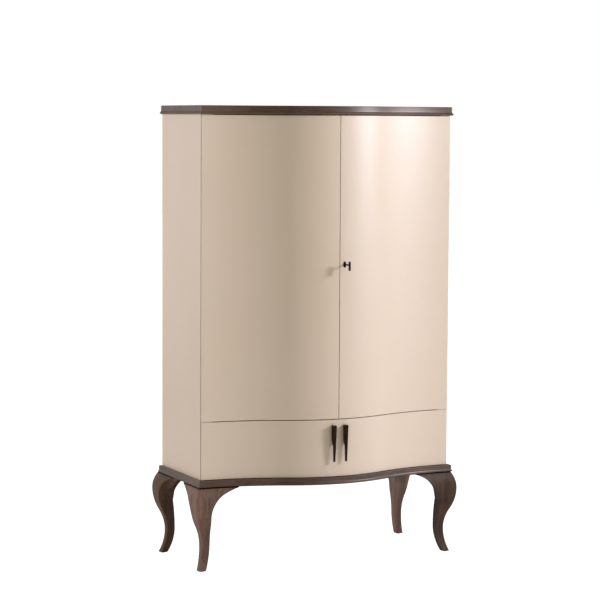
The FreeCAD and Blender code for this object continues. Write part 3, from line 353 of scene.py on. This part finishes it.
# Wood screws: zinc-plated steel, with a low domed head and a cross recess for the driver.
# One screw is modelled from each plain screw of the part: same place, head, shank and length.
def islands(node):
    """The separate solids of a node, each as a list of its points."""
    form = bmesh.new()
    form.from_mesh(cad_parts[node].data)
    bmesh.ops.remove_doubles(form, verts=form.verts, dist=WELD)
    left = set(form.verts)
    found = []
    while left:
        stack = [left.pop()]
        points = []
        while stack:
            vert = stack.pop()
            points.append(vert.co.copy())
            for edge in vert.link_edges:
                other = edge.other_vert(vert)
                if other in left:
                    left.discard(other)
                    stack.append(other)
        found.append(points)
    form.free()

    def first_point(points):
        return tuple(round(value, 5) for value in min(points, key=tuple))

    return sorted(found, key=first_point)


# shares of the head's radius: points nearer the axis than the first are not on the shank's side,
# and points further out than the second are on the head's rim
NEAR_AXIS = 0.2
NEAR_RIM = 0.95


def measure_screw(points):
    """Seat, direction, length, shank radius, head radius and head height of a plain screw."""
    low = Vector([min(p[k] for p in points) for k in range(3)])
    high = Vector([max(p[k] for p in points) for k in range(3)])
    along = max(range(3), key=lambda k: high[k] - low[k])
    centre = (low + high) / 2
    across = [k for k in range(3) if k != along]

    def radius(point):
        return math.hypot(point[across[0]] - centre[across[0]], point[across[1]] - centre[across[1]])

    head = max(radius(p) for p in points)
    shank = min(radius(p) for p in points if radius(p) > NEAR_AXIS * head)
    rim = [p[along] for p in points if radius(p) > NEAR_RIM * head]
    outward = 1 if sum(rim) / len(rim) > centre[along] else -1
    top = high[along] if outward > 0 else low[along]
    seat = centre.copy()
    seat[along] = min(rim) if outward > 0 else max(rim)
    direction = Vector((0, 0, 0))
    direction[along] = outward
    return seat, direction, high[along] - low[along], shank, head, abs(top - seat[along])


SCREW_SIDES = 24
# the head from its flat top down to its seat, in shares of its radius and of its height
HEAD_PROFILE = ((0.80, 1.0), (0.95, 0.72), (1.0, 0.25), (1.0, 0.0))
POINT_IN_SHANKS = 3
RECESS_ARM = 0.52
RECESS_SLOT = 0.13
RECESS_TAPER = 0.8
RECESS_FLOOR = 0.25


def add_screw(form, seat, direction, length, shank, head, thick):
    """Head with a cross recess, and a shank that runs out to a point."""
    turn = direction.to_track_quat("Z", "Y").to_matrix().to_4x4()
    place = Matrix.Translation(seat) @ turn

    def ring(radius, height):
        return [
            form.verts.new(place @ Vector((radius * math.cos(a), radius * math.sin(a), height)))
            for a in (2 * math.pi * n / SCREW_SIDES for n in range(SCREW_SIDES))
        ]

    depth = length - thick
    rings = [ring(head * wide, thick * high) for wide, high in HEAD_PROFILE]
    rings.append(ring(shank, 0))
    rings.append(ring(shank, -depth + POINT_IN_SHANKS * shank))
    for first, second in zip(rings, rings[1:]):
        for n in range(SCREW_SIDES):
            after = (n + 1) % SCREW_SIDES
            form.faces.new((first[n], second[n], second[after], first[after]))
    tip = form.verts.new(place @ Vector((0, 0, -depth)))
    for n in range(SCREW_SIDES):
        form.faces.new((rings[-1][n], tip, rings[-1][(n + 1) % SCREW_SIDES]))
    arm = head * RECESS_ARM
    slot = head * RECESS_SLOT
    cross = [
        (arm, slot), (slot, slot), (slot, arm), (-slot, arm), (-slot, slot), (-arm, slot),
        (-arm, -slot), (-slot, -slot), (-slot, -arm), (slot, -arm), (slot, -slot), (arm, -slot),
    ]
    mouth = [form.verts.new(place @ Vector((x, y, thick))) for x, y in cross]
    floor = [
        form.verts.new(place @ Vector((x * RECESS_TAPER, y * RECESS_TAPER, thick * RECESS_FLOOR)))
        for x, y in cross
    ]
    count = len(cross)
    for n in range(count):
        after = (n + 1) % count
        form.faces.new((mouth[n], mouth[after], floor[after], floor[n]))
    form.faces.new(floor)
    rim_edges = [form.edges.get((rings[0][n], rings[0][(n + 1) % SCREW_SIDES])) for n in range(SCREW_SIDES)]
    mouth_edges = [form.edges.get((mouth[n], mouth[(n + 1) % count])) for n in range(count)]
    bmesh.ops.triangle_fill(form, use_beauty=True, use_dissolve=False, edges=rim_edges + mouth_edges)


def screws(node, body):
    """The driven screws in place of a node of plain ones."""
    form = bmesh.new()
    for points in islands(node):
        add_screw(form, *measure_screw(points))
    bmesh.ops.recalc_face_normals(form, faces=form.faces)
    mesh = bpy.data.meshes.new(node + "_driven")
    form.to_mesh(mesh)
    form.free()
    mesh.materials.append(steel)
    piece = bpy.data.objects.new(node + "_driven", mesh)
    bpy.context.scene.collection.objects.link(piece)
    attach(piece, body)
    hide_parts(node)


screws("back_screws", "carcass")

# Shelves: two loose boards with a serpentine front edge, lacquered matt like the inside.
# They lie on steel pins pushed into bores in the side panels.
for shelf in ("shelf_lower", "shelf_upper"):
    eased(shelf, "carcass", inner_lacquer, width=0.8 * MM)
dress("shelf_pins", steel)

# Top board: one walnut board with the same serpentine front, its edge moulded with a band over a thin lip.
# Dowels hold it on the side panels; the grain runs across the width.
eased("top_board", "carcass", walnut_along["x"], width=0.6 * MM, sharp_above=24)

# Drawer: a beech box on steel runners behind a lacquered serpentine front.
# The bottom slides in grooves of the sides, the back stands on it, and dowels join the sides to the front.
for side in ("left", "right"):
    dress("runner_fixed_" + side, steel)
    dress("runner_moving_" + side, steel)
    eased("drawer_side_" + side, "drawer", beech_along["y"], width=1.0 * MM)
eased("drawer_back", "drawer", beech_along["x"], width=1.0 * MM)
eased("drawer_bottom", "drawer", beech_along["x"], width=0.5 * MM)
dress("drawer_dowels", beech_along["y"])
screws("runner_screws", "carcass")
eased("drawer_front", "drawer", cream_lacquer, width=1.0 * MM)

# Pulls: two cast bronze bars, thick at the top where they are screwed on from behind, tapering to the tip.
# The patina is almost black and faintly clouded.
PATINA = (0.034, 0.019, 0.013)
bronze = metal("dark_bronze_patina", PATINA, blotch=0.6, rough=0.36)
for side in ("left", "right"):
    eased("handle_" + side, "drawer", bronze, width=0.8 * MM)
screws("handle_screws", "drawer")

# Doors: two boards pressed to the serpentine line and lacquered all round, hung on pivots at the outer ends.
# Steel leaves with pins are screwed under the divider and under the top board, and the pins turn in steel
# plates let into the doors. Plastic magnet catches under the top board meet a steel plate in each door.
for level in ("low", "high"):
    for side in ("left", "right"):
        dress("hinge_leaf_" + level + "_" + side, steel)
        dress("hinge_socket_" + level + "_" + side, steel)
for side in ("left", "right"):
    eased("door_" + side, side + "_door", cream_lacquer, width=1.0 * MM)
    dress("catch_plate_" + side, steel)
    screws("door_screws_" + side, side + "_door")
screws("hinge_leaf_screws", "carcass")
eased("door_catches", "carcass", dark_plastic, width=0.8 * MM)

# Lock: a steel case let into the back of the right door, with a cover, a turning plug and a sliding bolt.
# The bolt enters a steel strike on the left door.
for part in ("lock_case", "lock_cover"):
    eased(part, "right_door", steel, width=0.5 * MM)
eased("lock_strike", "left_door", steel, width=0.6 * MM)
dress("lock_bolt", steel)
dress("lock_plug", bronze)


# Escutcheon: an oval plate of cast bronze let into the door around the keyhole.
# It is slightly domed inside a raised rim, and two small pins hold it.
def skin(form, rings, caps=True):
    """Skins rings of points one after another; without caps the last ring joins the first."""
    made = [[form.verts.new(point) for point in ring] for ring in rings]
    pairs = list(zip(made, made[1:]))
    if caps:
        form.faces.new(made[0])
        form.faces.new(made[-1])
    else:
        pairs.append((made[-1], made[0]))
    for first, second in pairs:
        for n in range(len(first)):
            after = (n + 1) % len(first)
            form.faces.new((first[n], first[after], second[after], second[n]))


def oval_ring(centre, half_wide, half_high, out, sides=48):
    angles = (2 * math.pi * n / sides for n in range(sides))
    return [centre + Vector((half_wide * math.cos(a), -out, half_high * math.sin(a))) for a in angles]


CAST_CREASE = math.radians(40)


def cast_piece(name, node, body, form, finish):
    """A finished bronze piece in place of a node."""
    bmesh.ops.recalc_face_normals(form, faces=form.faces)
    for face in form.faces:
        face.smooth = True
    for edge in form.edges:
        edge.smooth = edge.calc_face_angle() < CAST_CREASE
    mesh = bpy.data.meshes.new(name)
    form.to_mesh(mesh)
    form.free()
    mesh.materials.append(finish)
    piece = bpy.data.objects.new(name, mesh)
    bpy.context.scene.collection.objects.link(piece)
    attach(piece, body)
    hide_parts(node)


plate_low, plate_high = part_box("escutcheon")
plate_seat = Vector(((plate_low[0] + plate_high[0]) / 2, plate_high[1], (plate_low[2] + plate_high[2]) / 2))
# half width, half height and standing out, from the seat over the rim and the dome into the keyhole
PLATE_RINGS = (
    (5.9, 11.9, 0.0), (6.0, 12.0, 0.3), (6.0, 12.0, 1.7), (5.7, 11.7, 2.3), (5.2, 11.2, 2.6),
    (4.8, 10.8, 2.45), (4.5, 10.4, 2.0), (4.2, 9.0, 2.1), (3.9, 6.0, 2.3), (3.65, 3.65, 2.4),
    (3.5, 3.5, 2.2), (3.5, 3.5, 0.0),
)
plate_form = bmesh.new()
skin(plate_form, [oval_ring(plate_seat, a * MM, b * MM, out * MM) for a, b, out in PLATE_RINGS], caps=False)
PIN_RISE = 9.4 * MM
# radius and standing out of the pin's domed head
PIN_RINGS = ((0.9, 1.6), (0.9, 2.2), (0.7, 2.45), (0.3, 2.58))
for rise in (PIN_RISE, -PIN_RISE):
    pin_seat = plate_seat + Vector((0, 0, rise))
    skin(plate_form, [oval_ring(pin_seat, r * MM, r * MM, out * MM, sides=16) for r, out in PIN_RINGS])
cast_piece("escutcheon_plate", "escutcheon", "right_door", plate_form, bronze)

# Key: cast bronze, with an upright bar as a bow, a round shank with a bead and a collar, and a flat blade
# with two cuts. It stays in the lock and serves as the doors' knob.
key_low, key_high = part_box("key")
key_x = (key_low[0] + key_high[0]) / 2
BOW_DEEP = 14 * MM
BOW_CORNER = 4.5 * MM
CORNER_STEPS = 6
bow_middle = (key_low[1] + BOW_DEEP / 2, (key_low[2] + key_high[2]) / 2)
bow_half = (BOW_DEEP / 2, (key_high[2] - key_low[2]) / 2)


def bow_ring(out, inset):
    """The rounded outline of the bow at one distance from its middle plane."""
    radius = BOW_CORNER - inset
    ring = []
    for deep, high, start in ((1, 1, 0), (-1, 1, 90), (-1, -1, 180), (1, -1, 270)):
        for n in range(CORNER_STEPS + 1):
            angle = math.radians(start + 90 * n / CORNER_STEPS)
            ring.append(Vector((
                key_x + out,
                bow_middle[0] + deep * (bow_half[0] - BOW_CORNER) + radius * math.cos(angle),
                bow_middle[1] + high * (bow_half[1] - BOW_CORNER) + radius * math.sin(angle),
            )))
    return ring


key_form = bmesh.new()
# distance from the bow's middle plane, and how far its outline draws in there
BOW_EDGE = ((-2.0, 0.9), (-1.8, 0.35), (-1.3, 0.0), (1.3, 0.0), (1.8, 0.35), (2.0, 0.9))
skin(key_form, [bow_ring(out * MM, inset * MM) for out, inset in BOW_EDGE])
# distance behind the front of the bow, and radius
SHANK_PROFILE = (
    (12.5, 2.8), (15.0, 2.8), (15.4, 3.5), (16.4, 3.9), (17.4, 3.5), (17.8, 2.8), (43.2, 2.8),
    (43.5, 3.7), (43.9, 4.1), (45.9, 4.1), (46.3, 3.7), (46.5, 2.8), (47.6, 2.8), (48.0, 2.5),
)
shank_root = Vector((key_x, key_low[1], plate_seat[2]))
skin(key_form, [oval_ring(shank_root, r * MM, r * MM, -far * MM, sides=24) for far, r in SHANK_PROFILE])
BLADE_HALF_HIGH = 3
BLADE_HALF_THICK = 1
BLADE_ROOT = 44.4
# where each cut starts and ends, measured back from the blade's tip, and how deep it is
BLADE_CUTS = ((2.5, 6.0, 0.9), (8.0, 11.5, 1.3))
CHAMFER = 1
blade_tip = (key_high[1] - key_low[1]) / MM
blade_line = [
    (BLADE_ROOT, BLADE_HALF_HIGH),
    (blade_tip - CHAMFER, BLADE_HALF_HIGH),
    (blade_tip, BLADE_HALF_HIGH - CHAMFER),
    (blade_tip, CHAMFER - BLADE_HALF_HIGH),
    (blade_tip - CHAMFER, -BLADE_HALF_HIGH),
]
for start, end, deep in BLADE_CUTS:
    blade_line += [
        (blade_tip - start, -BLADE_HALF_HIGH),
        (blade_tip - start - CHAMFER, deep - BLADE_HALF_HIGH),
        (blade_tip - end + CHAMFER, deep - BLADE_HALF_HIGH),
        (blade_tip - end, -BLADE_HALF_HIGH),
    ]
blade_line.append((BLADE_ROOT, -BLADE_HALF_HIGH))
skin(key_form, [
    [shank_root + Vector((out, far, rise)) * MM for far, rise in blade_line]
    for out in (-BLADE_HALF_THICK, BLADE_HALF_THICK)
])
cast_piece("key_cast", "key", "key", key_form, bronze)

# Studio: a pale paper floor that runs out to a white backdrop, in a dim warm room.
# A small and a wide light stand high on the right and a weak one nearly in front; two more stand on the
# left, beside the cabinet and behind it, for the side panel and the legs.
FLOOR_HALF = 30
floor_mesh = bpy.data.meshes.new("floor")
floor_corners = [(x * FLOOR_HALF, y * FLOOR_HALF, 0) for x, y in ((-1, -1), (1, -1), (1, 1), (-1, 1))]
floor_mesh.from_pydata(floor_corners, [], [(0, 1, 2, 3)])
floor = bpy.data.objects.new("floor", floor_mesh)
bpy.context.scene.collection.objects.link(floor)
PAPER_GREY = (0.86, 0.86, 0.86)
PAPER_PALE = (0.9, 0.9, 0.9)
PAPER_GLOW = 1.3
GLOW_SHARE = 0.84
WHITE = (1, 1, 1, 1)
paper, paper_shader, paper_place = new_finish("pale_paper", Roughness=0.9, Specular_IOR_Level=0.1)
paper_tone = ramp(paper, noise(paper, paper_place, scale=3), (0.3, PAPER_GREY), (0.7, PAPER_PALE))
connect(paper, paper_tone, paper_shader, "Base Color")
glow = wire(paper, "ShaderNodeEmission", {"Color": WHITE, "Strength": PAPER_GLOW})
seen = wire(paper, "ShaderNodeLightPath", {}).outputs["Is Camera Ray"]
share = times(paper, seen, GLOW_SHARE)
mixed = wire(paper, "ShaderNodeMixShader", {0: share, 1: paper_shader.outputs[0], 2: glow.outputs[0]})
paper.node_tree.links.new(mixed.outputs[0], paper.node_tree.nodes["Material Output"].inputs["Surface"])
floor_mesh.materials.append(paper)

ROOM_TINT = (1.0, 0.985, 0.81, 1)
ROOM_LIGHT = 0.355
world = bpy.data.worlds.new("studio")
bpy.context.scene.world = world
world.use_nodes = True
backdrop = world.node_tree.nodes["Background"]
backdrop.inputs["Color"].default_value = WHITE
room = wire(world, "ShaderNodeBackground", {"Color": ROOM_TINT, "Strength": ROOM_LIGHT})
world_seen = wire(world, "ShaderNodeLightPath", {}).outputs["Is Camera Ray"]
either = wire(world, "ShaderNodeMixShader", {0: world_seen, 1: room.outputs[0], 2: backdrop.outputs[0]})
world.node_tree.links.new(either.outputs[0], world.node_tree.nodes["World Output"].inputs["Surface"])


def soft_light(name, azimuth, distance, height, wide, high, watts, tint, aim):
    """A rectangular light; azimuth is measured from straight in front, positive to the right."""
    lamp = bpy.data.lights.new(name, "AREA")
    lamp.shape = "RECTANGLE"
    lamp.size = wide
    lamp.size_y = high
    lamp.energy = watts
    lamp.color = tint
    light = bpy.data.objects.new(name, lamp)
    bpy.context.scene.collection.objects.link(light)
    turn = math.radians(azimuth)
    light.location = (distance * math.sin(turn), -distance * math.cos(turn), height)
    light.rotation_mode = "QUATERNION"
    light.rotation_quaternion = (Vector(aim) - light.location).to_track_quat("-Z", "Y")


CARCASS_MIDDLE = (0, -0.1, 1.1)
LEFT_SIDE = (-0.5, 0.1, 0.9)
COOL = (0.90, 0.92, 1.06)
WARM = (1.0, 0.9, 0.7)
LILAC = (0.9, 0.89, 1.0)
BLUISH = (0.9, 0.9, 1.0)
soft_light(
    "key_light", azimuth=53, distance=5.5, height=2.72,
    wide=0.8, high=0.8, watts=215, tint=COOL, aim=CARCASS_MIDDLE,
)
soft_light(
    "wide_light", azimuth=58, distance=5.5, height=3.2,
    wide=3.0, high=1.6, watts=105, tint=COOL, aim=CARCASS_MIDDLE,
)
soft_light(
    "fill_light", azimuth=15, distance=6.0, height=2.8,
    wide=2.5, high=2.0, watts=18, tint=WARM, aim=CARCASS_MIDDLE,
)
soft_light(
    "side_light", azimuth=-112, distance=4.0, height=1.9,
    wide=2.0, high=2.0, watts=82, tint=LILAC, aim=LEFT_SIDE,
)
soft_light(
    "back_light", azimuth=-145, distance=4.0, height=1.6,
    wide=2.0, high=2.4, watts=9, tint=BLUISH, aim=LEFT_SIDE,
)

# Camera: at about the height of the top board, to the left of the middle, looking slightly down.
# It stands far off with a long lens, so the upright edges stay almost parallel.
SENSOR_WIDE = 36
LENS_LONG = 132.46
FARTHEST = 100
CAMERA_PLACE = (-3.63702, -7.92902, 1.73249)
CAMERA_YAW = 0.42451
CAMERA_DIP = 0.08143
CAMERA_ROLL = 0.00539
lens = bpy.data.cameras.new("camera")
lens.sensor_width = SENSOR_WIDE
lens.lens = LENS_LONG
lens.clip_end = FARTHEST
camera = bpy.data.objects.new("camera", lens)
bpy.context.scene.collection.objects.link(camera)
camera.matrix_world = (
    Matrix.Translation(CAMERA_PLACE)
    @ Matrix.Rotation(-CAMERA_YAW, 4, "Z")
    @ Matrix.Rotation(math.pi / 2 - CAMERA_DIP, 4, "X")
    @ Matrix.Rotation(CAMERA_ROLL, 4, "Z")
)
bpy.context.scene.camera = camera
bpy.context.scene.view_settings.view_transform = "Standard"
